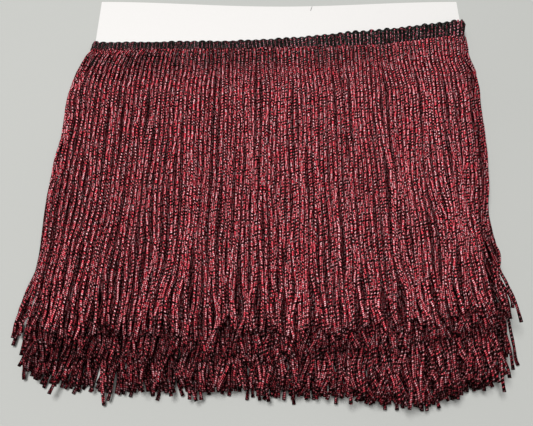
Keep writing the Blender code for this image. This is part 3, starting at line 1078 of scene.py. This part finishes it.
def card_material():
    """White board with a faint grain."""
    material, tree, shader = new_material("white_board")
    place = node(tree, "ShaderNodeTexCoord")
    fine = noise(tree, place.outputs["Object"], 900.0, 3.0)
    colour = mix(tree, fine, (0.645, 0.63, 0.615), (0.67, 0.655, 0.64))
    tree.links.new(colour, shader.inputs["Base Color"])
    shader.inputs["Roughness"].default_value = 0.55
    return material


def floor_piece():
    """The pale table, which is no part of the object."""
    material, tree, shader = new_material("pale_table")
    place = node(tree, "ShaderNodeTexCoord")
    cloudy = noise(tree, place.outputs["Object"], 6.0, 2.0)
    colour = mix(tree, cloudy, (0.40, 0.405, 0.386), (0.424, 0.429, 0.41))
    tree.links.new(colour, shader.inputs["Base Color"])
    shader.inputs["Roughness"].default_value = 0.8
    mesh = bpy.data.meshes.new("table")
    size = TABLE_HALF
    corners = [(-size, -size, 0), (size, -size, 0), (size, size, 0), (-size, size, 0)]
    mesh.from_pydata(corners, [], [(0, 1, 2, 3)])
    mesh.materials.append(material)
    thing = bpy.data.objects.new("table", mesh)
    bpy.context.scene.collection.objects.link(thing)


def light(name, place, size, power):
    """A round lamp at a place, turned to the middle of the part."""
    lamp = bpy.data.lights.new(name, "AREA")
    lamp.shape = "DISK"
    lamp.size = size
    lamp.energy = power
    thing = bpy.data.objects.new(name, lamp)
    thing.location = place
    thing.rotation_euler = (-Vector(place)).to_track_quat("-Z", "Y").to_euler()
    bpy.context.scene.collection.objects.link(thing)


# The pass that covers each group of strands; the group gets painted shade down to a little below that
# pass's tips
OVER = {
    "front_middle": "front_outer",
    "front_inner": "front_middle",
    "front_first": "front_inner",
    "back_second": "front_inner",
    "back_first": "front_inner",
    "back_inner": "front_middle",
    "back_outer": "front_outer",
}

# Each group's pieces, how many sides its strands have and how far apart their rings are
PILES = (
    ("back_outer", 3, 5, 2.4),
    ("back_inner", 3, 5, 2.4),
    ("back_first", 3, 5, 2.4),
    ("back_second", 3, 5, 2.4),
    ("front_first", 3, 6, 2.4),
    ("front_inner", 3, 6, 2.4),
    ("front_middle", 3, 6, 2.2),
    ("front_outer", 4, 8, 1.25),
)


def main():
    """Builds every piece, then the camera and the light."""
    chance = np.random.default_rng(5)
    strands, pile = lay_all()
    # The pile's smoothed height, below which strands get painted shade
    level = blurred(pile.height, 2, 30)
    # In each yarn below, the second and fourth colours are painted highlights and the last number is
    # painted shade on the strands' sides
    yarn = chainette_material(
        "marled_chainette", 0.315,
        red=(0.95, 0.065, 0.10),
        pink_highlight=(1.0, 0.86, 0.90),
        dark=(0.002, 0.001, 0.001),
        grey_highlight=(0.14, 0.09, 0.075),
        stitch=1.0, wales=4.0, side_painted_shade=0.85,
    )
    rib_yarn = chainette_material(
        "heading_rib_yarn", 0.88,
        red=(0.30, 0.03, 0.05),
        pink_highlight=(0.6, 0.2, 0.25),
        dark=(0.004, 0.005, 0.004),
        grey_highlight=(0.14, 0.15, 0.14),
        stitch=1.2, wales=5.0, side_painted_shade=0.0,
    )
    line_yarn = chainette_material(
        "heading_thread_yarn", 0.45,
        red=(0.55, 0.06, 0.10),
        pink_highlight=(1.0, 0.65, 0.70),
        dark=(0.02, 0.015, 0.015),
        grey_highlight=(0.30, 0.25, 0.25),
        stitch=1.0, wales=2.0, side_painted_shade=0.0,
    )
    for strand in strands:
        lean = strand.x / 120.0 + chance.normal(0.0, 0.45)
        strand.look = (chance.uniform(), 1.0 if lean > 0 else 0.0, chance.uniform())
        over = OVER.get(strand.group)
        if over:
            strand.open_y = float(lower_edge(over, strand.x)) + HEADING_HEIGHT - DROP
    for name, parts, sides, spacing in PILES:
        own = [strand for strand in strands if strand.group == name]
        own.sort(key=lambda strand: strand.x)
        for number, part in enumerate(np.array_split(np.array(own, dtype=object), parts)):
            soup = Soup()
            for column, strand in enumerate(part):
                rings, along, look = strand_tube(strand, chance, sides, spacing, level)
                soup.add(rings, along, look, column, len(part))
            piece = soup.make(f"strands_{name}_{number + 1}", yarn)
            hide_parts("fringe")
    loops = heading_loops(rib_yarn, chance)
    threads = heading_lines(line_yarn, chance)
    ground = heading_band(dark_yarn_material("heading_ground_yarn"))
    for piece in (loops, threads, ground):
        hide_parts("heading")
    card = card_piece(card_material())
    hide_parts("winding_card")
    floor_piece()

    camera_data = bpy.data.cameras.new("camera")
    camera_data.lens = CAMERA_LENS
    camera_data.sensor_width = CAMERA_SENSOR
    camera = bpy.data.objects.new("camera", camera_data)
    camera_x, camera_y = SHIFT[:2] + CAMERA_FROM_HEADING
    camera.location = (camera_x / 1000.0, camera_y / 1000.0, CAMERA_HEIGHT)
    camera.rotation_euler = (math.radians(CAMERA_TILT), 0.0, 0.0)
    bpy.context.scene.collection.objects.link(camera)
    bpy.context.scene.camera = camera
    bpy.context.scene.view_settings.view_transform = "Standard"

    world = bpy.data.worlds.new("studio")
    world.use_nodes = True
    world.node_tree.nodes["Background"].inputs[0].default_value = ROOM_COLOUR
    world.node_tree.nodes["Background"].inputs[1].default_value = ROOM_LIGHT
    bpy.context.scene.world = world
    light("key", *KEY_LIGHT)
    light("fill", *FILL_LIGHT)


main()
